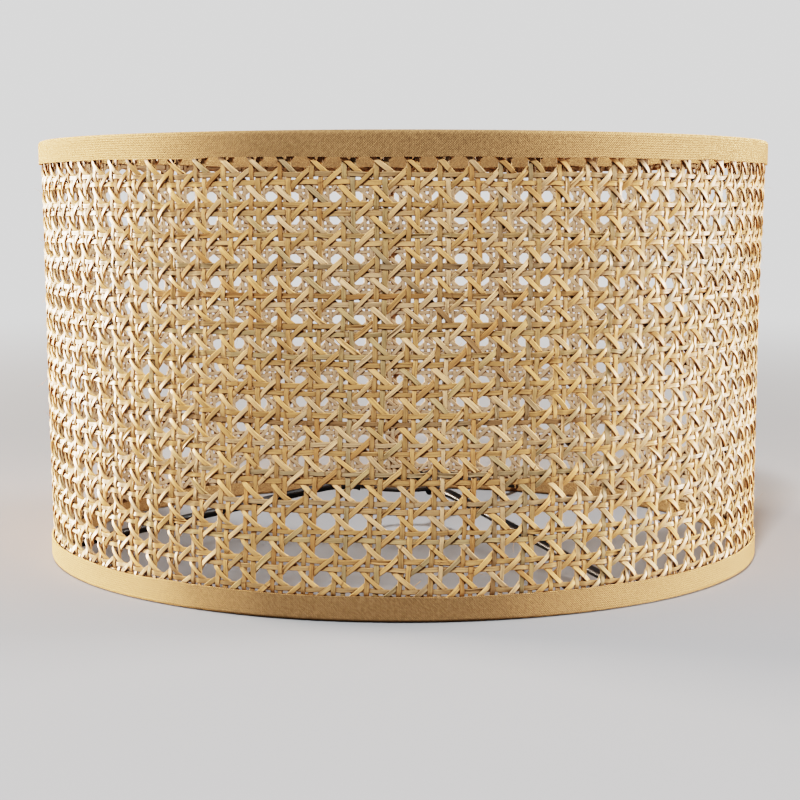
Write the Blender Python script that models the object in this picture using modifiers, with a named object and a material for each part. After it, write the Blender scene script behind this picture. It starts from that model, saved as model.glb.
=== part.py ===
"""Drum lamp shade: cane webbing on two wire rings, with a three-arm spider and an E27 fitter ring.

Metres, +Z up. The origin is the centre of the bottom rim, and the shade's axis is Z.
The front of the shade faces -Y, and the lap joint of the webbing is at the back, at +Y.
"""

import math
from collections import namedtuple

import bmesh
import bpy
from mathutils import Matrix, Vector

# Driving dimensions
SHADE_RADIUS = 0.200  # outer face of the fabric trims
SHADE_HEIGHT = 0.226
ROUND_STEPS = 96  # facets around the drum, shared by every large ring
GAP = 0.0003  # clearance between pieces that touch on the real shade

TAPE_THICKNESS = 0.0008
TAPE_OUTER_LEG = 0.0120
TAPE_INNER_LEG = 0.0090
TAPE_FOLD_RADIUS = 0.0012

WEBBING_THICKNESS = 0.0026
WEBBING_RING_NOTCH = 0.0065  # height of the lap's tongue that is cut away beside each ring

RING_WIRE = 0.0040
RING_WIRE_SIDES = 8

FITTER_OUTER_DIAMETER = 0.052
FITTER_HOLE_DIAMETER = 0.041  # slips over an E27 lampholder and rests on its shoulder
FITTER_THICKNESS = 0.0020
FITTER_EDGE = 0.0003
FITTER_HEIGHT = 0.034  # middle of the fitter ring above the bottom rim
FITTER_STEPS = 48

ARM_WIRE = 0.0048
ARM_BEND_START = 0.040  # radius at which the level stub begins to bend down
ARM_BEND_END = 0.046
ARM_END_HEIGHT = 0.0046
ARM_HEADINGS = {"left": 191.5, "right": 306.0, "rear": 66.5}  # degrees from +X
ARM_NOTCH_WIDTH = 0.0060
ARM_NOTCH_FLOOR = 0.0019

Finish = namedtuple("Finish", "colour roughness metallic")
CANE = Finish((0.62, 0.44, 0.24), 0.45, 0.0)
TAPE_FABRIC = Finish((0.55, 0.40, 0.24), 0.9, 0.0)
BLACK_PAINT = Finish((0.02, 0.02, 0.021), 0.25, 0.0)
WHITE_COATING = Finish((0.75, 0.74, 0.70), 0.5, 0.0)

# Sizes that follow from them
WEBBING_OUTER = SHADE_RADIUS - TAPE_THICKNESS - GAP
WEBBING_INNER = WEBBING_OUTER - WEBBING_THICKNESS
RING_RADIUS = WEBBING_INNER - GAP - RING_WIRE / 2
RING_HEIGHT = TAPE_THICKNESS + GAP + RING_WIRE / 2
TAPE_INNER = RING_RADIUS - RING_WIRE / 2 - GAP - TAPE_THICKNESS
ARM_START = FITTER_OUTER_DIAMETER / 2 + GAP
ARM_END = RING_RADIUS - RING_WIRE / 2 - GAP


def clear_scene():
    for obj in list(bpy.data.objects):
        bpy.data.objects.remove(obj, do_unlink=True)


def collection(name):
    made = bpy.data.collections.new(name)
    bpy.context.scene.collection.children.link(made)
    return made


def material(name, finish):
    made = bpy.data.materials.new(name)
    made.use_nodes = True
    shader = made.node_tree.nodes["Principled BSDF"]
    shader.inputs["Base Color"].default_value = (*finish.colour, 1.0)
    shader.inputs["Roughness"].default_value = finish.roughness
    shader.inputs["Metallic"].default_value = finish.metallic
    made.diffuse_color = (*finish.colour, 1.0)
    return made


def place(obj, home, finish):
    """Moves an object into its own collection and gives it a material of its own."""
    for other in list(obj.users_collection):
        other.objects.unlink(obj)
    home.objects.link(obj)
    obj.data.materials.clear()
    obj.data.materials.append(material(obj.name + "_finish", finish))
    return obj


def mesh_object(name, mesh, home, finish):
    return place(bpy.data.objects.new(name, mesh), home, finish)


def turned(name, profile, steps, home, finish, smooth_angle=40.0):
    """A ring turned about Z from a closed profile of (radius, height) points.

    The profile runs down its outer side, in under the bottom and up its inner side.
    """
    mesh = bpy.data.meshes.new(name)
    corners = [(radius, 0.0, height) for radius, height in profile]
    edges = [(i, (i + 1) % len(corners)) for i in range(len(corners))]
    mesh.from_pydata(corners, edges, [])
    obj = mesh_object(name, mesh, home, finish)
    screw = obj.modifiers.new("Turn", "SCREW")
    screw.axis = "Z"
    screw.angle = math.tau
    screw.steps = steps
    screw.render_steps = steps
    screw.use_merge_vertices = True
    screw.merge_threshold = 0.00001
    screw.use_smooth_shade = True
    bake(obj)
    obj.data.set_sharp_from_angle(angle=math.radians(smooth_angle))
    return obj


def bake(obj):
    """Replaces an object's mesh with the one its modifiers give."""
    graph = bpy.context.evaluated_depsgraph_get()
    graph.update()
    mesh = bpy.data.meshes.new_from_object(obj.evaluated_get(graph))
    obj.modifiers.clear()
    old = obj.data
    obj.data = mesh
    bpy.data.meshes.remove(old)


def tape_profile():
    """Cross-section of the bottom tape: out of the webbing, under the ring, and up inside it."""
    outer = SHADE_RADIUS
    inner = TAPE_INNER
    skin = TAPE_THICKNESS
    fold = TAPE_FOLD_RADIUS
    diagonal = fold * (1 - math.sqrt(0.5))
    inside = fold - skin / 2
    return [
        (outer, TAPE_OUTER_LEG),
        (outer, fold),
        (outer - diagonal, diagonal),
        (outer - fold, 0.0),
        (inner + fold, 0.0),
        (inner + diagonal, diagonal),
        (inner, fold),
        (inner, TAPE_INNER_LEG),
        (inner + skin, TAPE_INNER_LEG),
        (inner + skin, skin + inside / 2),
        (inner + skin + inside / 2, skin),
        (outer - skin - inside / 2, skin),
        (outer - skin, skin + inside / 2),
        (outer - skin, TAPE_OUTER_LEG),
    ]


def build_bottom_trim(home, cutters, finish):
    trim = turned("bottom_trim", tape_profile(), ROUND_STEPS, home, finish)
    for side, heading in ARM_HEADINGS.items():
        cutter = arm_notch_cutter("notch_" + side, heading, cutters, finish)
        cut = trim.modifiers.new("Notch " + side, "BOOLEAN")
        cut.operation = "DIFFERENCE"
        cut.solver = "EXACT"
        cut.object = cutter
    return trim


def arm_notch_cutter(name, heading, home, finish):
    """A box through the tape's inner leg, where a spider arm reaches the ring."""
    top = TAPE_INNER_LEG + 0.002
    middle = Vector((TAPE_INNER + TAPE_THICKNESS / 2, 0.0, (ARM_NOTCH_FLOOR + top) / 2))
    size = Vector((4 * TAPE_THICKNESS, ARM_NOTCH_WIDTH, top - ARM_NOTCH_FLOOR))
    shape = bmesh.new()
    bmesh.ops.create_cube(shape, size=1.0, matrix=Matrix.Diagonal((*size, 1.0)))
    bmesh.ops.translate(shape, verts=shape.verts, vec=middle)
    turn = Matrix.Rotation(math.radians(heading), 3, "Z")
    bmesh.ops.rotate(shape, verts=shape.verts, cent=(0, 0, 0), matrix=turn)
    mesh = bpy.data.meshes.new(name)
    shape.to_mesh(mesh)
    shape.free()
    cutter = mesh_object(name, mesh, home, finish)
    cutter.hide_render = True
    cutter.display_type = "WIRE"
    return cutter


def build_top_trim(home, finish):
    """The same tape upside down, with no notches."""
    profile = [(radius, SHADE_HEIGHT - height) for radius, height in reversed(tape_profile())]
    return turned("top_trim", profile, ROUND_STEPS, home, finish)


def build_webbing(home, finish):
    """The rolled panel: one turn, then a tongue that steps in behind its own start at the back."""
    step = math.tau / ROUND_STEPS
    middle = (WEBBING_OUTER + WEBBING_INNER) / 2
    tongue = middle - WEBBING_THICKNESS - GAP
    low = TAPE_THICKNESS + GAP
    high = SHADE_HEIGHT - low
    levels = [low, WEBBING_RING_NOTCH, SHADE_HEIGHT - WEBBING_RING_NOTCH, high]
    columns = ROUND_STEPS + 2
    full_columns = ROUND_STEPS - 1
    sheet = bmesh.new()
    rows = []
    for column in range(columns):
        angle = math.pi / 2 + column * step
        radius = middle if column <= full_columns else tongue
        across = (radius * math.cos(angle), radius * math.sin(angle))
        rows.append([sheet.verts.new((*across, level)) for level in levels])
    for column in range(columns - 1):
        near, far = rows[column], rows[column + 1]
        for band in range(len(levels) - 1):
            beside_ring = band != 1
            if column >= full_columns and beside_ring:
                continue
            sheet.faces.new((near[band], far[band], far[band + 1], near[band + 1]))
    loose = [vert for vert in sheet.verts if not vert.link_faces]
    bmesh.ops.delete(sheet, geom=loose, context="VERTS")
    mesh = bpy.data.meshes.new("cane_webbing")
    sheet.to_mesh(mesh)
    sheet.free()
    panel = mesh_object("cane_webbing", mesh, home, finish)
    solid = panel.modifiers.new("Thickness", "SOLIDIFY")
    solid.thickness = WEBBING_THICKNESS
    solid.offset = 0.0
    solid.use_even_offset = True
    bake(panel)
    panel.data.shade_smooth()
    panel.data.set_sharp_from_angle(angle=math.radians(40))
    return panel


def build_wire_ring(name, height, home, finish):
    bpy.ops.mesh.primitive_torus_add(
        major_segments=ROUND_STEPS,
        minor_segments=RING_WIRE_SIDES,
        major_radius=RING_RADIUS,
        minor_radius=RING_WIRE / 2,
        location=(0.0, 0.0, height),
    )
    ring = bpy.context.object
    ring.name = name
    ring.data.name = name
    ring.data.shade_smooth()
    return place(ring, home, finish)


def build_fitter_ring(home, finish):
    """A flat washer with broken edges, whose underside sits on the lampholder's shoulder."""
    outer = FITTER_OUTER_DIAMETER / 2
    inner = FITTER_HOLE_DIAMETER / 2
    top = FITTER_HEIGHT + FITTER_THICKNESS / 2
    bottom = FITTER_HEIGHT - FITTER_THICKNESS / 2
    edge = FITTER_EDGE
    profile = [
        (outer - edge, top),
        (outer, top - edge),
        (outer, bottom + edge),
        (outer - edge, bottom),
        (inner + edge, bottom),
        (inner, bottom + edge),
        (inner, top - edge),
        (inner + edge, top),
    ]
    return turned("fitter_ring", profile, FITTER_STEPS, home, finish, smooth_angle=30.0)


def arm_path():
    """An arm's centre line in its own vertical plane: level, a short bend, then straight down."""
    level = Vector((ARM_START, 0.0, FITTER_HEIGHT))
    end = Vector((ARM_END, 0.0, ARM_END_HEIGHT))
    bend_start = Vector((ARM_BEND_START, 0.0, FITTER_HEIGHT))
    corner = Vector(((ARM_BEND_START + ARM_BEND_END) / 2, 0.0, FITTER_HEIGHT))
    slope = (end - corner).normalized()
    bend_end = corner + slope * (ARM_BEND_END - ARM_BEND_START) / 2
    bend = []
    for part in (0.0, 0.33, 0.67, 1.0):
        first = bend_start.lerp(corner, part)
        second = corner.lerp(bend_end, part)
        bend.append(first.lerp(second, part))
    return [level, *bend, end]


def build_arm(side, heading, home, finish):
    name = "spider_arm_" + side
    path = arm_path()
    curve = bpy.data.curves.new(name, "CURVE")
    curve.dimensions = "3D"
    curve.bevel_depth = ARM_WIRE / 2
    curve.bevel_resolution = 2
    curve.use_fill_caps = True
    spline = curve.splines.new("POLY")
    spline.points.add(len(path) - 1)
    for point, where in zip(spline.points, path):
        point.co = (*where, 1.0)
    arm = mesh_object(name, curve, home, finish)
    arm.rotation_euler = (0.0, 0.0, math.radians(heading))
    return arm


def main():
    clear_scene()
    shade = collection("lamp_shade")
    cutters = collection("cutters")
    build_webbing(shade, CANE)
    build_top_trim(shade, TAPE_FABRIC)
    build_bottom_trim(shade, cutters, TAPE_FABRIC)
    build_wire_ring("top_ring", SHADE_HEIGHT - RING_HEIGHT, shade, WHITE_COATING)
    build_wire_ring("bottom_ring", RING_HEIGHT, shade, WHITE_COATING)
    build_fitter_ring(shade, BLACK_PAINT)
    for side, heading in ARM_HEADINGS.items():
        build_arm(side, heading, shade, BLACK_PAINT)


main()
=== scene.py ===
"""Looks of the cane drum lamp shade: strand-by-strand webbing, folded fabric tapes, spider."""

import math

import bpy
import numpy as np
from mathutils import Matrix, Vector


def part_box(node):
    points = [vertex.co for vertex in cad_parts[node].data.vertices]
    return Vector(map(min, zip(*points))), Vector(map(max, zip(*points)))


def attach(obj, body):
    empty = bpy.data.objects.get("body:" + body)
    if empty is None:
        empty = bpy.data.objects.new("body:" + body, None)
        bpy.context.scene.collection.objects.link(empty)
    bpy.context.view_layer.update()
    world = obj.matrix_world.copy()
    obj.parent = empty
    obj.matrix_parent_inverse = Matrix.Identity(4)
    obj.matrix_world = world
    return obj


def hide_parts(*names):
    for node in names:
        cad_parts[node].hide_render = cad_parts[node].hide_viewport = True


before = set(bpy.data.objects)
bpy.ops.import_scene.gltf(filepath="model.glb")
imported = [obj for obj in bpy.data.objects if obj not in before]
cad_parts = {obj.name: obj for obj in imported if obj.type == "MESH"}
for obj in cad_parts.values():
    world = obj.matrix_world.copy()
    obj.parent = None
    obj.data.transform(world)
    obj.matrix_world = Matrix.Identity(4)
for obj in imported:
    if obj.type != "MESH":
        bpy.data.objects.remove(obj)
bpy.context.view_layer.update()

MM = 0.001

# ---------------------------------------------------------------- the frame's own sizes
RIM_LOW, RIM_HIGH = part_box("bottom_trim")
TOP_LOW, TOP_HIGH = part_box("top_trim")
WEB_LOW, WEB_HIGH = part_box("cane_webbing")
WIRE_LOW, WIRE_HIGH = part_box("bottom_ring")
FITTER_LOW, FITTER_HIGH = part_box("fitter_ring")

SHADE_RADIUS = RIM_HIGH[0]
SHADE_HEIGHT = TOP_HIGH[2]
TAPE_LEG = RIM_HIGH[2]
WEB_OUTER = WEB_HIGH[0]
WIRE_SIZE = WIRE_HIGH[2] - WIRE_LOW[2]
WIRE_RADIUS = WIRE_HIGH[0] - WIRE_SIZE / 2
WIRE_MIDDLE = (WIRE_LOW[2] + WIRE_HIGH[2]) / 2
FITTER_MIDDLE = (FITTER_LOW[2] + FITTER_HIGH[2]) / 2
FITTER_RADIUS = FITTER_HIGH[0]

# ---------------------------------------------------------------- the weave
STRAND_WIDTH = 2.52 * MM
STRAND_THICKNESS = 0.95 * MM
COLUMN_PITCH = 14.654 * MM
ROW_PITCH = 13.768 * MM
ROW_LEAN = -0.388 * MM  # how far each row down is shifted to the left
UPRIGHT_SPREAD = 0.138  # half the distance between the uprights of a pair, in pitches
HOOP_SPREAD = 0.137
CROSSING_LIFT = 0.52 * MM  # how far an upright or a hoop rises or sinks where the two cross
CROSSING_WIDTH = 0.105  # how much of a pitch that rise takes up
DIAGONAL_LIFT = 0.93 * MM
DIAGONAL_WIDTH = 0.98  # width of a diagonal, in widths of the other strands
WEB_MIDDLE = WEB_OUTER - 1.35 * MM  # radius of the surface that the strands weave about
LAP_LENGTH = 13.0 * MM
LAP_DROP = 2.9 * MM  # how far the lap's inner end lies inside its outer one
FRONT = math.pi * WEB_MIDDLE  # distance round from the lap, at +Y, to the front, at -Y
FIRST_HOLE_ROUND = FRONT - 21.27 * MM
FIRST_HOLE_UP = 60.05 * MM
NODE_SPACING = 0.13  # between the rings that the rattan's nodes leave along a strand
PANEL_LENGTH = math.tau * WEB_MIDDLE + LAP_LENGTH
PANEL_LOW = WEB_LOW[2] + 0.2 * MM
PANEL_HIGH = WEB_HIGH[2] - 0.2 * MM
NOTCH = 6.5 * MM  # height that is cut off the lap's inner end beside each wire ring
DRAPE_ROUND = 0.40 * MM  # how far the sheet's small uneven stretches move the weave
DRAPE_UP = 0.28 * MM
WAIST = 0.70 * MM  # how far the sheet sinks in between the rings
SAG = 0.55 * MM  # how far its broad bulges move it there


def soft_noise(seed, count, shortest, longest):
    """Returns a smooth function of two lengths: a sum of waves at random headings, about 1 high."""
    rng = np.random.default_rng(seed)
    reach = rng.uniform(shortest, longest, count)
    heading = rng.uniform(0, math.tau, count)
    phase = rng.uniform(0, math.tau, count)
    kx = math.tau / reach * np.cos(heading)
    ky = math.tau / reach * np.sin(heading)
    scale = 1.4 / math.sqrt(count)

    def value(x, y):
        x = np.asarray(x)[..., None]
        y = np.asarray(y)[..., None]
        return scale * np.sin(kx * x + ky * y + phase).sum(-1)

    return value


SHIFT_ROUND = soft_noise(11, 14, 70 * MM, 320 * MM)
SHIFT_UP = soft_noise(12, 14, 70 * MM, 320 * MM)
WOBBLE = soft_noise(13, 12, 16 * MM, 60 * MM)
BULGE = soft_noise(14, 10, 150 * MM, 500 * MM)
SPLITS = soft_noise(15, 12, 25 * MM, 130 * MM)


def lattice(column, row):
    """Where a point of the weave lies on the unrolled panel: distance round, and height.

    pull and hitch, in mm, are the drape of the sheet. side runs from -1 to 1 across the front, and
    rise from -1 at the bottom to 1 at the top.
    """
    around = FIRST_HOLE_ROUND + column * COLUMN_PITCH + row * ROW_LEAN
    height = FIRST_HOLE_UP - row * ROW_PITCH
    side = np.sin((around - FRONT) / WEB_MIDDLE)
    rise = np.clip(2 * height / SHADE_HEIGHT - 1, -1.1, 1.1)
    pull = -0.43 - 0.96 * side + 2.6 * side ** 2 - 0.73 * rise - 1.26 * rise ** 2
    pull = pull + np.cos(math.tau * side) + 0.5 * np.cos(math.pi * side)
    pull = pull - 1.7 * rise * np.sin(math.pi * side)
    hitch = 0.2 - 0.53 * rise + 0.98 * rise * side ** 3
    return (
        around + MM * pull + DRAPE_ROUND * SHIFT_ROUND(around, height),
        height + MM * hitch + DRAPE_UP * SHIFT_UP(around, height),
    )


def bump(distance):
    return np.exp(-((distance / CROSSING_WIDTH) ** 2))


def ease(part):
    """A step from 0 to 1 that starts and ends gently."""
    part = np.clip(part, 0, 1)
    return part * part * (3 - 2 * part)


def over_under(position, spread):
    """+1 where a strand goes over the first strand of a pair, -1 where it goes under the second."""
    part = position - np.floor(position)
    return bump(part - 0.5 + spread) - bump(part - 0.5 - spread)


def sway(position):
    """A wave with flattened crests, +1 at whole positions and -1 halfway between."""
    wave = np.cos(math.tau * position)
    return np.sign(wave) * np.abs(wave) ** 0.5


# ---------------------------------------------------------------- mesh making
def to_world(around, height, out):
    """Rolls the panel up: the lap starts at +Y and the panel runs counter-clockwise."""
    around, height, out = np.broadcast_arrays(around, height, out)
    angle = math.pi / 2 + around / WEB_MIDDLE
    tongue = ease((around - (PANEL_LENGTH - 2 * LAP_LENGTH)) / LAP_LENGTH)
    waist = np.sin(math.pi * np.clip(height / SHADE_HEIGHT, 0, 1)) ** 2
    loose = waist * (SAG * BULGE(around, height) - WAIST)
    radius = WEB_MIDDLE + out - LAP_DROP * tongue + loose
    return np.stack([radius * np.cos(angle), radius * np.sin(angle), height], -1)


def put_in_scene(name, data):
    made = bpy.data.objects.new(name, data)
    bpy.context.scene.collection.objects.link(made)
    return made


# Painted shade and light for each set of strands: the sets that lie low in the weave are painted
# darker, as if shaded, and the falling diagonals lighter than the rising ones.
SET_PAINTED_SHADE = {
    "cane_uprights_left": 0.83,
    "cane_uprights_right": 0.95,
    "cane_hoops_upper": 0.78,
    "cane_hoops_lower": 0.92,
    "cane_falling_first": 1.10,
    "cane_falling_second": 1.10,
    "cane_rising_first": 0.97,
    "cane_rising_second": 0.97,
}


class Pieces:
    """Collects tubes, and makes them into one mesh.

    Its attribute strand_place is where a point lies on its tube: across, along, and 1 on the back.
    The tint attribute is three random numbers and, fourth, the set's painted shade or light.
    """

    def __init__(self):
        self.points = []
        self.faces = []
        self.caps = []
        self.place = []
        self.tint = []
        self.count = 0

    def add(self, rings, across, along, back, tint):
        """rings is (rings, sides, 3); across and back go with the sides, along with the rings."""
        number, sides = rings.shape[:2]
        index = self.count + np.arange(number * sides).reshape(number, sides)
        near, far = index[:-1], index[1:]
        quads = [near, far, np.roll(far, -1, 1), np.roll(near, -1, 1)]
        self.faces.append(np.stack(quads, -1).reshape(-1, 4))
        self.caps.append(index[0])
        self.caps.append(index[-1][::-1])
        self.points.append(rings.reshape(-1, 3))
        place = np.empty((number, sides, 3))
        place[..., 0] = across
        place[..., 1] = np.asarray(along)[:, None]
        place[..., 2] = back
        self.place.append(place.reshape(-1, 3))
        self.tint.append(np.broadcast_to(tint, (number * sides, 4)))
        self.count += number * sides

    def make(self, name):
        points = np.concatenate(self.points)
        quads = np.concatenate(self.faces)
        caps = np.concatenate(self.caps)
        cap_sizes = np.array([len(cap) for cap in self.caps])
        mesh = bpy.data.meshes.new(name)
        mesh.vertices.add(len(points))
        mesh.vertices.foreach_set("co", points.astype(np.float32).ravel())
        corners = np.concatenate([quads.ravel(), caps])
        mesh.loops.add(len(corners))
        mesh.loops.foreach_set("vertex_index", corners.astype(np.int32))
        sizes = np.concatenate([np.full(len(quads), 4), cap_sizes])
        starts = np.concatenate([[0], np.cumsum(sizes)[:-1]])
        mesh.polygons.add(len(sizes))
        mesh.polygons.foreach_set("loop_start", starts.astype(np.int32))
        mesh.polygons.foreach_set("use_smooth", np.ones(len(sizes), bool))
        mesh.update(calc_edges=True)
        place = mesh.attributes.new("strand_place", "FLOAT_VECTOR", "POINT")
        place.data.foreach_set("vector", np.concatenate(self.place).astype(np.float32).ravel())
        tint = mesh.attributes.new("strand_tint_and_shade", "FLOAT_COLOR", "POINT")
        tints = np.concatenate(self.tint).astype(np.float32)
        # the fourth number is each set's painted shade: darker for the sets that lie low in the weave
        tints[:, 3] = SET_PAINTED_SHADE.get(name, 1.0)
        tint.data.foreach_set("color", tints.ravel())
        mesh.validate()
        return put_in_scene(name, mesh)


# The corners of a strand's section, in widths and thicknesses: a flat-topped skin and a flat back.
SECTION = np.array([
    (-0.50, -0.12), (-0.48, 0.15), (-0.38, 0.48), (0.00, 0.50), (0.38, 0.48),
    (0.48, 0.15), (0.50, -0.12), (0.40, -0.50), (-0.40, -0.50),
])
SECTION_BACK = np.array([0.3, 0, 0, 0, 0, 0, 0.3, 1, 1])
CREST = 3  # the corner in the middle of the skin, which sinks where the skin has split
SPLIT_DEPTH = 0.45  # of the thickness
STRAND_UNEVEN = (0.90, 1.08)  # range of a strand's width and thickness
STRAND_WAVER = 0.05  # how much its width changes along it
STRAND_ROLL = np.radians(7)
WANDER = 0.22 * MM  # how far a strand strays sideways
SHORTEST_RUN = 4  # points


def unit(vectors):
    return vectors / np.maximum(np.linalg.norm(vectors, axis=-1, keepdims=True), 1e-12)


def add_strand(pieces, around, height, out, rng, width_share=1.0):
    """Sweeps the strand's section along a path on the unrolled panel."""
    centre = np.stack([around, height, out], -1)
    tangent = unit(np.gradient(centre, axis=0))
    side = unit(np.stack([-tangent[:, 1], tangent[:, 0], np.zeros(len(out))], -1))
    up = np.cross(side, tangent) * -1.0
    steps = np.linalg.norm(np.diff(centre, axis=0), axis=1)
    along = np.concatenate([[0], np.cumsum(steps)])
    seed = rng.uniform(0, 50)
    roll = STRAND_ROLL * WOBBLE(along, np.full(len(along), seed))
    width = STRAND_WIDTH * width_share * rng.uniform(*STRAND_UNEVEN)
    width = width * (1 + STRAND_WAVER * WOBBLE(along * 0.7, np.full(len(along), seed + 3)))
    thick = STRAND_THICKNESS * rng.uniform(*STRAND_UNEVEN)
    a = SECTION[:, 0][None, :] * width[:, None]
    b = np.broadcast_to(SECTION[:, 1] * thick, a.shape).copy()
    split = np.clip(SPLITS(along, np.full(len(along), seed)) + rng.normal(-1.15, 0.35), 0, 1)
    b[:, CREST] -= SPLIT_DEPTH * thick * split
    turned_a = a * np.cos(roll)[:, None] - b * np.sin(roll)[:, None]
    turned_b = a * np.sin(roll)[:, None] + b * np.cos(roll)[:, None]
    rings = centre[:, None] + side[:, None] * turned_a[..., None] + up[:, None] * turned_b[..., None]
    world = to_world(rings[..., 0], rings[..., 1], rings[..., 2])
    tint = rng.uniform(0, 1, 4)
    pieces.add(world, SECTION[:, 0], along + seed, SECTION_BACK, tint)


def runs_inside(around, height):
    """The stretches of a path that lie on the panel, clear of the notches beside the rings."""
    inside = (around >= 0) & (around <= PANEL_LENGTH)
    inside &= (height >= PANEL_LOW) & (height <= PANEL_HIGH)
    tongue = around > PANEL_LENGTH - 2 * LAP_LENGTH
    inside &= ~(tongue & ((height < NOTCH) | (height > SHADE_HEIGHT - NOTCH)))
    edges = np.flatnonzero(np.diff(np.concatenate([[0], inside.astype(int), [0]])))
    return [slice(a, b) for a, b in zip(edges[::2], edges[1::2]) if b - a >= SHORTEST_RUN]


def add_path(pieces, column, row, out, rng, width_share=1.0):
    """One strand of the weave, given in lattice columns and rows, trimmed to the panel."""
    around, height = lattice(column, row)
    seed = rng.uniform(0, 50)
    away = np.hypot(np.gradient(around), np.gradient(height))
    side_around = -np.gradient(height) / away
    side_height = np.gradient(around) / away
    wander = WANDER * WOBBLE(np.cumsum(away), np.full(len(away), seed))
    around = around + side_around * wander
    height = height + side_height * wander
    for run in runs_inside(around, height):
        add_strand(pieces, around[run], height[run], out[run], rng, width_share)


# The lattice's columns and rows, counted from the first hole, a few past the panel's edges.
COLUMNS = np.arange(
    math.floor(-FIRST_HOLE_ROUND / COLUMN_PITCH) - 2,
    math.ceil((PANEL_LENGTH - FIRST_HOLE_ROUND) / COLUMN_PITCH) + 3,
)
ROWS = np.arange(
    math.floor((FIRST_HOLE_UP - SHADE_HEIGHT) / ROW_PITCH) - 1,
    math.ceil(FIRST_HOLE_UP / ROW_PITCH) + 2,
)
FINE = np.array([0, 0.22, 0.34, 0.44, 0.56, 0.66, 0.78])
DIAGONAL_STEPS = 10  # to a row


def fine_steps(whole):
    """Steps along an upright or a hoop, closest together at the crossings."""
    return (whole[:, None] + FINE[None, :]).ravel()


def make_uprights(name, side, rng):
    """Vertical strands: the left one of each pair passes over the upper hoop, the right one under."""
    pieces = Pieces()
    rows = fine_steps(ROWS)
    for column in COLUMNS:
        columns = np.full(len(rows), column + 0.5 + side * UPRIGHT_SPREAD)
        out = -side * CROSSING_LIFT * over_under(rows, HOOP_SPREAD)
        add_path(pieces, columns, rows, out, rng)
    return pieces.make(name)


def make_hoops(name, side, rng):
    """Horizontal strands: the upper one of each pair passes under the left upright."""
    pieces = Pieces()
    columns = fine_steps(COLUMNS)
    for row in ROWS:
        rows = np.full(len(columns), row + 0.5 + side * HOOP_SPREAD)
        out = side * CROSSING_LIFT * over_under(columns, UPRIGHT_SPREAD)
        add_path(pieces, columns, rows, out, rng)
    return pieces.make(name)


def make_diagonals(name, lean, half, rng):
    """Diagonals over the uprights and under the hoops (lean 1, falling) or the reverse (-1).

    half 0 is the half of them that starts further left, and half 1 the rest.
    """
    pieces = Pieces()
    rows = np.arange(ROWS[0] * DIAGONAL_STEPS, ROWS[-1] * DIAGONAL_STEPS + 1) / DIAGONAL_STEPS
    first = COLUMNS[0] - len(ROWS)
    last = COLUMNS[-1] + len(ROWS)
    middle = (first + last) // 2
    crest = 0.5 if lean > 0 else 0.0
    for start in np.arange(first, middle) if half == 0 else np.arange(middle, last):
        columns = start + 0.5 + lean * rows
        out = DIAGONAL_LIFT * sway(columns + crest)
        add_path(pieces, columns, rows, out, rng, DIAGONAL_WIDTH)
    return pieces.make(name)


# ---------------------------------------------------------------- loose fibres
FIBRES = 320
FIBRE_SIDES = 4
FIBRE_POINTS = 7
FIBRE_ROOT = 0.9 * MM  # how far out from the sheet's middle a fibre starts
FIBRE_MARGIN = 0.014  # the fibres keep this far from the shade's ends, clear of the tapes
FIBRE_HEADINGS = [0, math.pi / 2, math.pi / 4, -math.pi / 4]  # those of the strands


def make_fibres(name, rng):
    """Hairs and slivers of skin that stand up from the strands."""
    pieces = Pieces()
    turn = -np.arange(FIBRE_SIDES) / FIBRE_SIDES * math.tau
    part = np.linspace(0, 1, FIBRE_POINTS)
    skin = np.zeros(FIBRE_SIDES)
    for _ in range(FIBRES):
        around = rng.uniform(0, PANEL_LENGTH)
        height = rng.uniform(FIBRE_MARGIN, SHADE_HEIGHT - FIBRE_MARGIN)
        heading = rng.choice(FIBRE_HEADINGS) + rng.normal(0, 0.35)
        heading += math.pi * rng.integers(0, 2)
        length = rng.gamma(3.0, 1.5) * MM + 2 * MM
        lift = rng.uniform(0.15, 0.75) * length
        thick = rng.uniform(0.05, 0.13) * MM
        curl = rng.normal(0, 0.9)
        direction = heading + curl * part
        step = length / (FIBRE_POINTS - 1)
        a = around + np.concatenate([[0], np.cumsum(np.cos(direction[1:]) * step)])
        h = height + np.concatenate([[0], np.cumsum(np.sin(direction[1:]) * step)])
        out = FIBRE_ROOT + lift * part ** 1.6
        taper = thick * (1.0 - 0.75 * part)
        centre = np.stack([a, h, out], -1)
        tangent = unit(np.gradient(centre, axis=0))
        side = unit(np.stack([-tangent[:, 1], tangent[:, 0], np.zeros(FIBRE_POINTS)], -1))
        up = np.cross(side, tangent) * -1.0
        rings = (
            centre[:, None]
            + side[:, None] * (np.cos(turn)[None, :] * taper[:, None])[..., None]
            + up[:, None] * (np.sin(turn)[None, :] * taper[:, None])[..., None]
        )
        world = to_world(rings[..., 0], rings[..., 1], rings[..., 2])
        pieces.add(world, skin, part * length, skin, rng.uniform(0, 1, 4))
    return pieces.make(name)


# ---------------------------------------------------------------- fabric tapes
TAPE_THICKNESS = 0.8 * MM
TAPE_STEPS = 900
TAPE_LAP = 11.0 * MM
LAP_RISE = 5.0 * MM  # length over which the lap's upper end climbs onto the lower one
LAP_CLEARANCE = 0.05 * MM
INNER_LEG = 9.0 * MM
FOLD_RADIUS = 1.4 * MM
WIRE_CLEARANCE = 0.3 * MM
OUTER_SHARE = 0.42  # where along the section its outer leg ends
INNER_SHARE = 0.62  # and where its inner leg starts
NOTCH_HALF_WIDTH = 4.2 * MM
NOTCH_FLOOR = 1.6 * MM
NOTCH_RIM = INNER_LEG + 1.0 * MM


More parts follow.
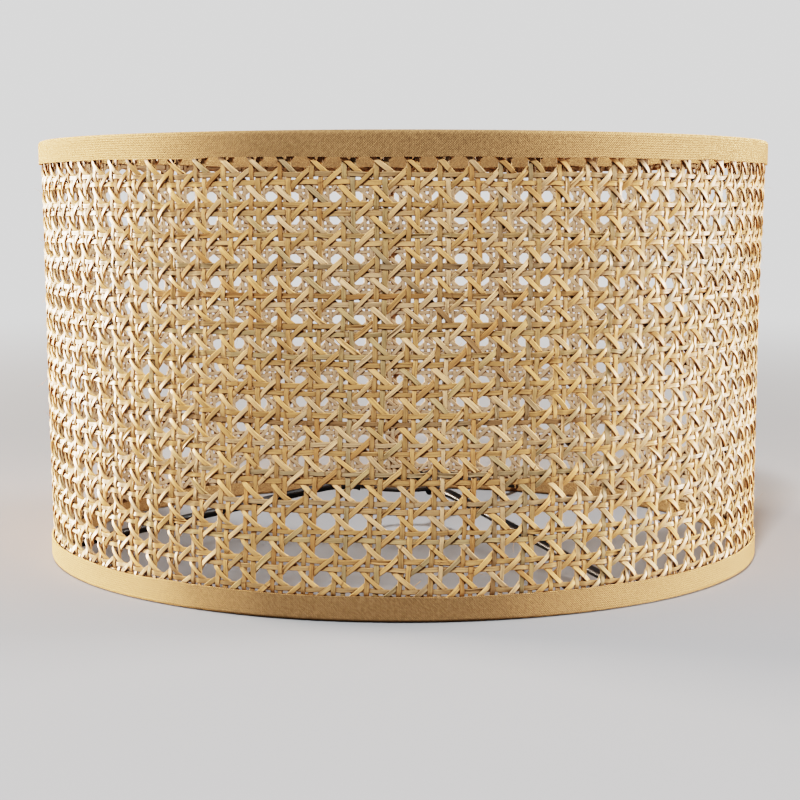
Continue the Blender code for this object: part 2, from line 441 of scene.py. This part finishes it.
def tape_line():
    """The tape's middle line, from its outer cut edge round the ring to its inner one."""
    outer = SHADE_RADIUS - TAPE_THICKNESS / 2
    inner = WIRE_RADIUS - WIRE_SIZE / 2 - WIRE_CLEARANCE - TAPE_THICKNESS / 2
    low = TAPE_THICKNESS / 2
    quarter = np.linspace(0, math.pi / 2, 7)
    away = FOLD_RADIUS * (1 - np.cos(quarter))
    down = low + FOLD_RADIUS * (1 - np.sin(quarter))
    line = [(outer, h) for h in np.linspace(TAPE_LEG, low + FOLD_RADIUS, 10)]
    line += list(zip(outer - away[1:], down[1:]))
    line.append(((outer + inner) / 2, low))
    line += list(zip(inner + away[::-1], down[::-1]))
    line += [(inner, h) for h in np.linspace(low + FOLD_RADIUS, INNER_LEG, 7)[1:]]
    return np.array(line)


def make_tape(name, top, seed, lap_angle, notches):
    """Sweeps the folded tape round the drum, with a lapped end, puckers and arm notches.

    It gives the piece, and the flat tape's width and length.
    """
    rng = np.random.default_rng(seed)
    line = tape_line()
    count = len(line)
    lengths = np.concatenate([[0], np.cumsum(np.linalg.norm(np.diff(line, axis=0), axis=1))])
    part = lengths / lengths[-1]
    length = math.tau * SHADE_RADIUS + TAPE_LAP
    along = np.linspace(0, length, TAPE_STEPS)
    angle = lap_angle + along / SHADE_RADIUS
    ripple = soft_noise(seed + 1, 16, 18 * MM, 120 * MM)
    pucker = soft_noise(seed + 2, 14, 7 * MM, 26 * MM)
    edge = soft_noise(seed + 3, 14, 12 * MM, 90 * MM)
    a = along[:, None]
    t = lengths[None, :]
    r = np.broadcast_to(line[:, 0], (TAPE_STEPS, count)).copy()
    h = np.broadcast_to(line[:, 1], (TAPE_STEPS, count)).copy()
    outer_leg = np.clip((OUTER_SHARE - part) / OUTER_SHARE, 0, 1)[None, :]
    inner_leg = np.clip((part - INNER_SHARE) / (1 - INNER_SHARE), 0, 1)[None, :]
    r += 0.10 * MM * ripple(a, t)
    r += inner_leg * (0.30 * MM * pucker(a, t * 0.3) - 0.15 * MM)
    h += outer_leg ** 2 * 0.16 * MM * edge(a, 0.0)
    h += inner_leg ** 2 * 0.35 * MM * edge(a, 1.0)
    inner_points = np.arange(count) > count * INNER_SHARE
    for heading in notches:
        away = np.angle(np.exp(1j * (angle - heading))) * WIRE_RADIUS
        dip = np.clip(1 - np.abs(away) / NOTCH_HALF_WIDTH, 0, 1) ** 0.5
        ceiling = NOTCH_RIM + (NOTCH_FLOOR - NOTCH_RIM) * dip
        h[:, inner_points] = np.minimum(h[:, inner_points], ceiling[:, None])
    half = TAPE_THICKNESS / 2
    lap = ease((along - (length - TAPE_LAP - LAP_RISE)) / LAP_RISE)[:, None]
    normal_r, normal_h = line_normals(line)
    r += lap * (TAPE_THICKNESS + LAP_CLEARANCE) * normal_r
    h += lap * (TAPE_THICKNESS + LAP_CLEARANCE) * normal_h
    h = np.maximum(h, half)
    outside = np.stack([r + half * normal_r, h + half * normal_h], -1)
    inside = np.stack([r - half * normal_r, h - half * normal_h], -1)
    loop = np.concatenate([outside, inside[:, ::-1]], 1)
    distance = np.concatenate([lengths, lengths[::-1]])
    radius, height = loop[..., 0], loop[..., 1]
    if top:
        radius, height, distance = radius[:, ::-1], SHADE_HEIGHT - height[:, ::-1], distance[::-1]
    x = radius * np.cos(angle)[:, None]
    y = radius * np.sin(angle)[:, None]
    rings = np.stack([x, y, height], -1)
    pieces = Pieces()
    pieces.add(rings[:, ::-1], distance[::-1], along, np.zeros(len(distance)), rng.uniform(0, 1, 4))
    piece = pieces.make(name)
    piece.data.set_sharp_from_angle(angle=math.radians(55))
    return piece, lengths[-1], length


def line_normals(line):
    """Unit normals of the tape's line, pointing out of the fold."""
    tangent = unit(np.gradient(line, axis=0))
    return -tangent[:, 1], tangent[:, 0]


# ---------------------------------------------------------------- spider and rings
ARM_SIZE = 4.8 * MM
ARM_SIDES = 28
ARM_HEADINGS = {"left": 191.5, "right": 306.0, "rear": 66.5}
ARM_CORNER = 43.0 * MM  # how far from the axis the arm's level and sloping parts would meet
ARM_BEND = 4.5 * MM  # how far before and after that its bend starts and ends
ARM_END_HEIGHT = 4.6 * MM
WELD_STEPS = np.array([0.0, 0.5, 1.2, 2.2, 3.6]) * MM  # distances from the arm's end
WELD_FLARE = np.array([1.0, 0.85, 0.5, 0.15]) * MM  # how much the first four of them are wider
WIRE_FLARE = 0.7  # the flare at the wire, in flares at the washer
FITTER_HOLE = 20.5 * MM
EDGE_SHARE = 0.5  # width of the washer's rounded edge, in its half heights


def frames_along(path):
    """Tangents of a path in the plane of x and z, and two directions across it."""
    tangent = unit(np.gradient(path, axis=0))
    side = unit(np.cross(tangent, np.array([0.0, 1.0, 0.0])))
    return tangent, side, np.cross(tangent, side)


def make_arm(name, heading):
    """A round rod with a bend, flared into its welds at both ends."""
    start = np.array([FITTER_RADIUS - 0.2 * MM, 0, FITTER_MIDDLE])
    corner = np.array([ARM_CORNER, 0, FITTER_MIDDLE])
    end = np.array([WIRE_RADIUS - WIRE_SIZE / 2 + 0.3 * MM, 0, ARM_END_HEIGHT])
    slope = unit(end - corner)
    path = [start + [step, 0, 0] for step in WELD_STEPS]
    near, far = corner - [ARM_BEND, 0, 0], corner + slope * ARM_BEND
    for part in np.linspace(0, 1, 12):
        first = near + (corner - near) * part
        second = corner + (far - corner) * part
        path.append(first + (second - first) * part)
    reach = np.linalg.norm(end - far)
    for back in [*np.linspace(reach, 6 * MM, 14)[1:], *WELD_STEPS[::-1]]:
        path.append(end - slope * back)
    path = np.array(path)
    radius = np.full(len(path), ARM_SIZE / 2)
    radius[:len(WELD_FLARE)] += WELD_FLARE
    radius[-len(WELD_FLARE):] += WELD_FLARE[::-1] * WIRE_FLARE
    tangent, side, up = frames_along(path)
    turn = np.arange(ARM_SIDES) / ARM_SIDES * math.tau
    circle = side[:, None] * np.cos(turn)[None, :, None] + up[:, None] * np.sin(turn)[None, :, None]
    rings = path[:, None] + circle * radius[:, None, None]
    c, s = math.cos(math.radians(heading)), math.sin(math.radians(heading))
    world = np.stack([
        rings[..., 0] * c - rings[..., 1] * s,
        rings[..., 0] * s + rings[..., 1] * c,
        rings[..., 2],
    ], -1)
    steps = np.concatenate([[0], np.cumsum(np.linalg.norm(np.diff(path, axis=0), axis=1))])
    pieces = Pieces()
    pieces.add(world[:, ::-1], np.zeros(ARM_SIDES), steps, np.zeros(ARM_SIDES), (0, 0, 0, 0))
    piece = pieces.make(name)
    piece.data.set_sharp_from_angle(angle=math.radians(50))
    return piece


def make_turned(name, profile, steps):
    """Turns a closed profile of (radius, height), listed down its outer side."""
    profile = np.array(profile)
    count = len(profile)
    angle = np.arange(steps) / steps * math.tau
    x = np.cos(angle)[:, None] * profile[:, 0]
    y = np.sin(angle)[:, None] * profile[:, 0]
    z = np.broadcast_to(profile[:, 1], x.shape)
    points = np.stack([x, y, z], -1).reshape(-1, 3)
    index = np.arange(steps * count).reshape(steps, count)
    near, far = index, np.roll(index, -1, 0)
    quads = [near, np.roll(near, -1, 1), np.roll(far, -1, 1), far]
    faces = np.stack(quads, -1).reshape(-1, 4)
    mesh = bpy.data.meshes.new(name)
    mesh.from_pydata(points.tolist(), [], faces.tolist())
    mesh.update()
    mesh.shade_smooth()
    mesh.set_sharp_from_angle(angle=math.radians(40))
    return put_in_scene(name, mesh)


def make_fitter(name):
    """The pressed washer: flat faces and rounded edges."""
    half = (FITTER_HIGH[2] - FITTER_LOW[2]) / 2
    edge = half * EDGE_SHARE
    profile = []
    for radius, sign in ((FITTER_RADIUS - edge, 1), (FITTER_HOLE + edge, -1)):
        for turn in sign * np.linspace(math.pi / 2, -math.pi / 2, 9):
            r = radius + sign * edge * math.cos(turn)
            profile.append((r, FITTER_MIDDLE + half * math.sin(turn)))
    return make_turned(name, profile, steps=144)


def make_wire(name, height, sides=20):
    """A round wire bent into a ring."""
    turn = -np.arange(sides) / sides * math.tau
    size = WIRE_SIZE / 2
    profile = [(WIRE_RADIUS + size * math.cos(t), height + size * math.sin(t)) for t in turn]
    return make_turned(name, profile, steps=288)


# ---------------------------------------------------------------- materials
class Shader:
    """A small helper that builds a node material step by step."""

    def __init__(self, name):
        self.material = bpy.data.materials.new(name)
        self.material.use_nodes = True
        self.tree = self.material.node_tree
        self.surface = self.tree.nodes["Principled BSDF"]

    def node(self, kind, **settings):
        made = self.tree.nodes.new("ShaderNode" + kind)
        for key, value in settings.items():
            setattr(made, key, value)
        return made

    def put(self, socket, value):
        if isinstance(value, bpy.types.NodeSocket):
            self.tree.links.new(value, socket)
        else:
            socket.default_value = value

    def math(self, operation, a, b=0.0):
        made = self.node("Math", operation=operation)
        self.put(made.inputs[0], a)
        self.put(made.inputs[1], b)
        return made.outputs[0]

    def plus(self, a, b):
        return self.math("ADD", a, b)

    def minus(self, a, b):
        return self.math("SUBTRACT", a, b)

    def times(self, a, b):
        return self.math("MULTIPLY", a, b)

    def size(self, a):
        return self.math("ABSOLUTE", a)

    def spread(self, value, low, high, to_low=0.0, to_high=1.0):
        """Maps low to high smoothly onto to_low to to_high."""
        made = self.node("MapRange", interpolation_type="SMOOTHSTEP")
        for name, given in (
            ("Value", value), ("From Min", low), ("From Max", high),
            ("To Min", to_low), ("To Max", to_high),
        ):
            self.put(made.inputs[name], given)
        return made.outputs["Result"]

    def mix(self, share, a, b, blend="MIX"):
        made = self.node("Mix", data_type="RGBA", blend_type=blend)
        self.put(made.inputs[0], share)
        self.put(made.inputs[6], a)
        self.put(made.inputs[7], b)
        return made.outputs[2]

    def dim(self, colour, red, green, blue):
        """Multiplies a colour's channels by three numbers."""
        return self.mix(1.0, colour, self.vector(red, green, blue), "MULTIPLY")

    def vector(self, x, y, z):
        made = self.node("CombineXYZ")
        for socket, value in zip(made.inputs, (x, y, z)):
            self.put(socket, value)
        return made.outputs[0]

    def noise(self, vector, scale, detail=2.0, roughness=0.5):
        made = self.node("TexNoise")
        self.put(made.inputs["Vector"], vector)
        made.inputs["Scale"].default_value = scale
        made.inputs["Detail"].default_value = detail
        made.inputs["Roughness"].default_value = roughness
        return made.outputs["Fac"]

    def ramp(self, value, stops):
        made = self.node("ValToRGB")
        band = made.color_ramp.elements
        while len(band) < len(stops):
            band.new(0.5)
        for element, (position, colour) in zip(band, stops):
            element.position = position
            element.color = (*colour, 1.0)
        self.put(made.inputs["Fac"], value)
        return made.outputs["Color"]

    def attribute(self, name):
        return self.node("Attribute", attribute_name=name).outputs

    def split(self, vector):
        made = self.node("SeparateXYZ")
        self.put(made.inputs[0], vector)
        return made.outputs[:]

    def bump(self, height, strength, distance):
        made = self.node("Bump")
        made.inputs["Strength"].default_value = strength
        made.inputs["Distance"].default_value = distance
        self.put(made.inputs["Height"], height)
        return made.outputs["Normal"]

    def finish(self, colour, roughness, normal=None):
        self.put(self.surface.inputs["Base Color"], colour)
        self.put(self.surface.inputs["Roughness"], roughness)
        if normal is not None:
            self.put(self.surface.inputs["Normal"], normal)
        return self.material


# Painted shade: an occlusion test darkens the cane's colour, and warms it, in the narrow gaps between
# strands.
PAINTED_SHADE_REACH = 2.8 * MM  # how far apart strands still darken the gap between them
PAINTED_SHADE_DARK = 0.02
PAINTED_SIDE_SHADE = (0.24, 0.120, 0.050, 1.0)
NODE_RING = (0.20, 0.095, 0.042, 1.0)
STAIN = (0.44, 0.235, 0.100, 1.0)
SPLIT_INSIDE = (0.13, 0.062, 0.027, 1.0)
PITH_DARK = (0.38, 0.270, 0.175, 1.0)
PITH_PALE = (0.50, 0.370, 0.250, 1.0)


def cane_material(name):
    """Split rattan: a glossy straw skin with lengthwise grain, over a dull pith back.

    The skin has a tint that drifts along it, stains, the rings of the rattan's nodes, and fine
    splits.
    Painted shade darkens the strands' side walls, the narrow gaps between strands and the sets that
    lie low in the weave. phase sets each strand's place in the noises.
    """
    s = Shader(name)
    across, along, back = s.split(s.attribute("strand_place")["Vector"])
    tint = s.attribute("strand_tint_and_shade")
    hue, value, phase = s.split(tint["Color"])
    offset = s.times(phase, 40.0)

    grain = s.noise(s.vector(s.times(across, 9.0), s.times(along, 55.0), offset), 1.0, 3.0, 0.6)
    blotch = s.noise(s.vector(s.times(across, 0.9), s.times(along, 48.0), offset), 1.0, 2.0, 0.6)
    drift = s.noise(s.vector(0.0, s.times(along, 11.0), offset), 1.0, 1.0)

    pick = s.plus(hue, s.times(s.minus(drift, 0.5), 0.30))
    base = s.ramp(pick, [
        (0.00, (0.68, 0.460, 0.270)),
        (0.20, (0.64, 0.390, 0.195)),
        (0.42, (0.58, 0.330, 0.140)),
        (0.60, (0.64, 0.370, 0.165)),
        (0.72, (0.56, 0.285, 0.115)),
        (0.82, (0.52, 0.345, 0.170)),
        (0.90, (0.44, 0.314, 0.170)),
        (0.96, (0.49, 0.345, 0.200)),
        (1.00, (0.38, 0.220, 0.110)),
    ])
    shade = s.times(s.spread(value, 0.0, 1.0, 0.88, 1.19), s.spread(grain, 0.30, 0.68, 0.72, 1.10))
    # painted shade: the tint's fourth number darkens the sets that lie low in the weave and lightens
    # the falling diagonals
    shade = s.times(shade, tint["Alpha"])
    base = s.dim(base, shade, shade, shade)
    base = s.mix(s.spread(blotch, 0.60, 0.78, 0.0, 0.45), base, STAIN)
    # painted shade: the strands' side walls are darkened as if in their neighbours' shadow
    base = s.mix(s.spread(s.size(across), 0.47, 0.50, 0.0, 0.60), base, PAINTED_SIDE_SHADE)

    turn = s.plus(s.times(along, 1.0 / NODE_SPACING), s.times(value, 7.0))
    turn = s.plus(turn, s.times(across, 0.004))
    from_node = s.size(s.minus(s.math("FRACT", turn), 0.5))
    base = s.mix(s.spread(from_node, 0.0015, 0.0050, 0.65, 0.0), base, NODE_RING)

    from_split = s.size(s.minus(across, s.times(s.minus(phase, 0.5), 0.5)))
    where = s.noise(s.vector(3.0, s.times(along, 24.0), offset), 1.0, 1.0)
    split = s.times(s.spread(from_split, 0.0, 0.045, 1.0, 0.0), s.spread(where, 0.48, 0.58))
    base = s.mix(s.times(split, 0.75), base, SPLIT_INSIDE)

    base = s.mix(back, base, s.mix(grain, PITH_DARK, PITH_PALE))
    # painted shade: darker and browner where strands lie close together
    painted_gap_shade = s.node("AmbientOcclusion", samples=6)
    painted_gap_shade.inputs["Distance"].default_value = PAINTED_SHADE_REACH
    gap_shade_factor = s.spread(painted_gap_shade.outputs["AO"], 0.16, 1.0, PAINTED_SHADE_DARK, 1.0)
    base = s.dim(base, gap_shade_factor, s.math("POWER", gap_shade_factor, 1.2), s.math("POWER", gap_shade_factor, 1.4))

    gloss = s.spread(grain, 0.3, 0.7, 0.52, 0.36)
    gloss = s.math("MAXIMUM", gloss, s.times(back, 0.8))
    normal = s.bump(s.minus(s.times(grain, 0.6), split), 0.80, 0.00012)
    s.surface.inputs["Specular IOR Level"].default_value = 0.10
    s.surface.inputs["Diffuse Roughness"].default_value = 0.55
    return s.finish(base, gloss, normal)


def tape_material(name, thread=0.78 * MM):
    """Plain-weave fabric cut on the bias: two sets of threads at 45 degrees to the tape, with painted
    shade in the gaps between them.
    """
    s = Shader(name)
    across, along, _ = s.split(s.attribute("strand_place")["Vector"])
    one_way, other_way = s.plus(along, across), s.minus(along, across)
    root = math.sqrt(0.5) / thread * math.pi
    wander = s.noise(s.vector(s.times(across, 90.0), s.times(along, 90.0), 0.0), 1.0, 2.0)
    wander = s.times(s.minus(wander, 0.5), 1.6)
    warp = s.math("SINE", s.plus(s.times(one_way, root), wander))
    weft = s.math("SINE", s.minus(s.times(other_way, root), wander))
    over = s.spread(s.times(warp, weft), -0.25, 0.25)
    rounded = s.mix(over, s.vector(s.size(warp), 0.0, 0.0), s.vector(s.size(weft), 0.0, 0.0))
    rounded = s.split(rounded)[0]
    fleck = s.noise(s.vector(s.times(one_way, 240.0), s.times(other_way, 1500.0), 0.0), 1.0, 2.0)
    fleck_b = s.noise(s.vector(s.times(other_way, 240.0), s.times(one_way, 1500.0), 5.0), 1.0, 2.0)
    broad = s.noise(s.vector(s.times(across, 60.0), s.times(along, 30.0), 0.0), 1.0, 3.0)
    slub = s.noise(s.vector(s.times(one_way, 330.0), s.times(other_way, 900.0), 9.0), 1.0, 2.0)
    tone = s.plus(s.times(fleck, 0.5), s.times(fleck_b, 0.5))
    base = s.ramp(tone, [
        (0.30, (0.222, 0.126, 0.059)),
        (0.50, (0.292, 0.166, 0.079)),
        (0.70, (0.358, 0.207, 0.101)),
    ])
    # painted shade: the fabric is darker where the threads dip between one another
    thread_gap_shade = s.spread(rounded, 0.0, 0.60, 0.52, 1.06)
    soil = s.spread(broad, 0.3, 0.7, 0.92, 1.05)
    shade = s.times(s.times(thread_gap_shade, soil), s.spread(slub, 0.34, 0.66, 0.78, 1.22))
    base = s.dim(base, shade, shade, shade)
    normal = s.bump(s.plus(rounded, s.times(tone, 0.5)), 1.0, 0.00028)
    s.surface.inputs["Specular IOR Level"].default_value = 0.10
    s.surface.inputs["Sheen Weight"].default_value = 1.0
    s.surface.inputs["Sheen Roughness"].default_value = 0.5
    s.surface.inputs["Sheen Tint"].default_value = (1.0, 0.62, 0.30, 1.0)
    return s.finish(base, s.spread(tone, 0.3, 0.7, 0.95, 0.82), normal)


def paint_material(name, colour, rough, speck):
    """A hard coat: a fine orange peel, with slight changes of tone and gloss."""
    s = Shader(name)
    place = s.node("TexCoord").outputs["Object"]
    peel = s.noise(place, 900.0, 2.0)
    wear = s.noise(place, 60.0, 3.0)
    base = s.mix(s.spread(wear, 0.4, 0.7), (*colour, 1.0), (*[c * speck for c in colour], 1.0))
    normal = s.bump(peel, 0.12, 0.00005)
    return s.finish(base, s.spread(wear, 0.3, 0.7, rough, rough + 0.12), normal)


def floor_material(name):
    """A pale studio floor that fades into the white backdrop far from the object.

    Only the camera sees it pale: it throws little light back up at the shade, because a shade in
    use is high up on its stand, well clear of any floor.
    """
    s = Shader(name)
    place = s.node("TexCoord").outputs["Object"]
    seen = s.node("LightPath").outputs["Is Camera Ray"]
    tone = s.noise(place, 3.0, 3.0)
    pale = s.mix(tone, (0.29, 0.302, 0.318, 1.0), (0.31, 0.322, 0.338, 1.0))
    far = s.node("VectorMath", operation="LENGTH")
    s.put(far.inputs[0], place)
    fade = s.spread(far.outputs["Value"], FADE_START, FADE_END)
    base = s.mix(seen, (0.08, 0.08, 0.08, 1.0), pale)
    base = s.mix(fade, base, (0.0, 0.0, 0.0, 1.0))
    s.surface.inputs["Specular IOR Level"].default_value = 0.0
    s.surface.inputs["Emission Color"].default_value = (1.0, 1.0, 1.0, 1.0)
    s.put(s.surface.inputs["Emission Strength"], s.times(s.times(fade, seen), BACKDROP_WHITE))
    return s.finish(base, 0.9)


# ---------------------------------------------------------------- build the pieces
def dress(piece, material, node):
    """Gives a piece its material and slot, and puts it in the place of a node of the CAD."""
    piece.data.materials.append(material)
    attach(piece, "root")
    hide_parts(node)


def build_webbing():
    cane = cane_material("natural_cane")
    rng = np.random.default_rng(2024)
    made = [
        make_uprights("cane_uprights_left", -1, rng),
        make_uprights("cane_uprights_right", 1, rng),
        make_hoops("cane_hoops_upper", -1, rng),
        make_hoops("cane_hoops_lower", 1, rng),
        make_diagonals("cane_falling_first", 1, 0, rng),
        make_diagonals("cane_falling_second", 1, 1, rng),
        make_diagonals("cane_rising_first", -1, 0, rng),
        make_diagonals("cane_rising_second", -1, 1, rng),
        make_fibres("cane_fibres", rng),
    ]
    for piece in made:
        piece.data.set_sharp_from_angle(angle=math.radians(34))
        dress(piece, cane, "cane_webbing")


def build_tapes():
    fabric = tape_material("bias_tape")
    arms = [math.radians(heading) for heading in ARM_HEADINGS.values()]
    for name, node, top, seed, lap, notches in (
        ("top_tape", "top_trim", True, 31, math.radians(98), []),
        ("bottom_tape", "bottom_trim", False, 41, math.radians(82), arms),
    ):
        piece, width, length = make_tape(name, top, seed, lap, notches)
        dress(piece, fabric, node)


def build_metal():
    black = paint_material("black_gloss", (0.012, 0.012, 0.013), 0.22, 1.6)
    white = paint_material("wire_coating", (0.72, 0.71, 0.67), 0.45, 0.9)
    for side, heading in ARM_HEADINGS.items():
        dress(make_arm("arm_rod_" + side, heading), black, "spider_arm_" + side)
    dress(make_fitter("fitter_washer"), black, "fitter_ring")
    dress(make_wire("bottom_wire", WIRE_MIDDLE), white, "bottom_ring")
    dress(make_wire("top_wire", SHADE_HEIGHT - WIRE_MIDDLE), white, "top_ring")


# ---------------------------------------------------------------- stage, light and camera
CAMERA_AWAY = 4.9526 * SHADE_RADIUS
CAMERA_UP = 0.9664 * SHADE_RADIUS
CAMERA_DIP = math.radians(9.69)
FLOOR_REACH = 30.0
FLOOR_DROP = 0.0004  # keeps the floor clear of the bottom rim
FADE_START = 0.3  # how far from the shade the floor starts to fade into the backdrop
FADE_END = 2.2
BACKDROP_WHITE = 0.90
WHITE = (1.0, 1.0, 1.0)
LEFT_COLOUR = (1.0, 0.82, 0.67)
RIGHT_COLOUR = (1.0, 0.87, 0.78)
FILL = 0.13  # strength of the even light from all round
MIDDLE = (0.0, 0.0, 0.12)  # what the lights point at, about the middle of the shade


def build_floor():
    mesh = bpy.data.meshes.new("studio_floor")
    corners = [(x * FLOOR_REACH, y * FLOOR_REACH, 0) for x, y in ((-1, -1), (1, -1), (1, 1), (-1, 1))]
    mesh.from_pydata(corners, [], [(0, 1, 2, 3)])
    mesh.materials.append(floor_material("pale_floor"))
    floor = put_in_scene("studio_floor", mesh)
    floor.location.z = -FLOOR_DROP


def build_light(name, where, target, size, power, colour=WHITE):
    """A rectangular softbox, in watts, that the camera doesn't see."""
    lamp = bpy.data.lights.new(name, "AREA")
    lamp.shape = "RECTANGLE"
    lamp.size, lamp.size_y = size
    lamp.energy = power
    lamp.color = colour
    softbox = put_in_scene(name, lamp)
    softbox.location = where
    aim = Vector(target) - Vector(where)
    softbox.rotation_euler = aim.to_track_quat("-Z", "Y").to_euler()
    softbox.visible_camera = False


def build_world():
    """White where the camera looks, and a dim even fill for everything else."""
    world = bpy.data.worlds.new("studio")
    bpy.context.scene.world = world
    world.use_nodes = True
    tree = world.node_tree
    fill = tree.nodes["Background"]
    backdrop = tree.nodes.new("ShaderNodeBackground")
    for light, strength in ((fill, FILL), (backdrop, BACKDROP_WHITE)):
        light.inputs["Color"].default_value = (*WHITE, 1.0)
        light.inputs["Strength"].default_value = strength
    seen = tree.nodes.new("ShaderNodeLightPath")
    choose = tree.nodes.new("ShaderNodeMixShader")
    tree.links.new(seen.outputs["Is Camera Ray"], choose.inputs[0])
    tree.links.new(fill.outputs[0], choose.inputs[1])
    tree.links.new(backdrop.outputs[0], choose.inputs[2])
    tree.links.new(choose.outputs[0], tree.nodes["World Output"].inputs["Surface"])


def around_shade(azimuth, away, height):
    """A place at an azimuth from the front, counted to the right."""
    turn = math.radians(azimuth)
    return (away * math.sin(turn), -away * math.cos(turn), height)


def build_studio():
    """Two big softboxes at the sides, a faint overhead one and a small key light in front."""
    build_floor()
    build_world()
    left, right = around_shade(-114, 3.6, 0.24), around_shade(103, 3.6, 0.24)
    build_light("softbox_left", left, MIDDLE, (1.4, 0.44), 1190.0, LEFT_COLOUR)
    build_light("softbox_right", right, MIDDLE, (1.5, 0.44), 750.0, RIGHT_COLOUR)
    build_light("overhead", (0.0, -0.10, 1.10), (0.0, 0.0, 0.1), (0.7, 0.5), 3.0)
    build_light("key", around_shade(-9, 1.50, 1.70), MIDDLE, (0.19, 0.19), 61.0)


def build_camera():
    data = bpy.data.cameras.new("camera")
    data.sensor_width = 36.0
    data.lens = 78.1
    data.shift_x = -0.00425
    data.shift_y = 0.125
    camera = put_in_scene("camera", data)
    camera.location = (0.0, -CAMERA_AWAY, CAMERA_UP)
    camera.rotation_euler = (math.pi / 2 - CAMERA_DIP, 0.0, 0.0)
    bpy.context.scene.camera = camera
    bpy.context.scene.view_settings.view_transform = "Filmic"
    bpy.context.scene.view_settings.look = "High Contrast"


build_camera()
build_studio()
build_webbing()
build_tapes()
build_metal()
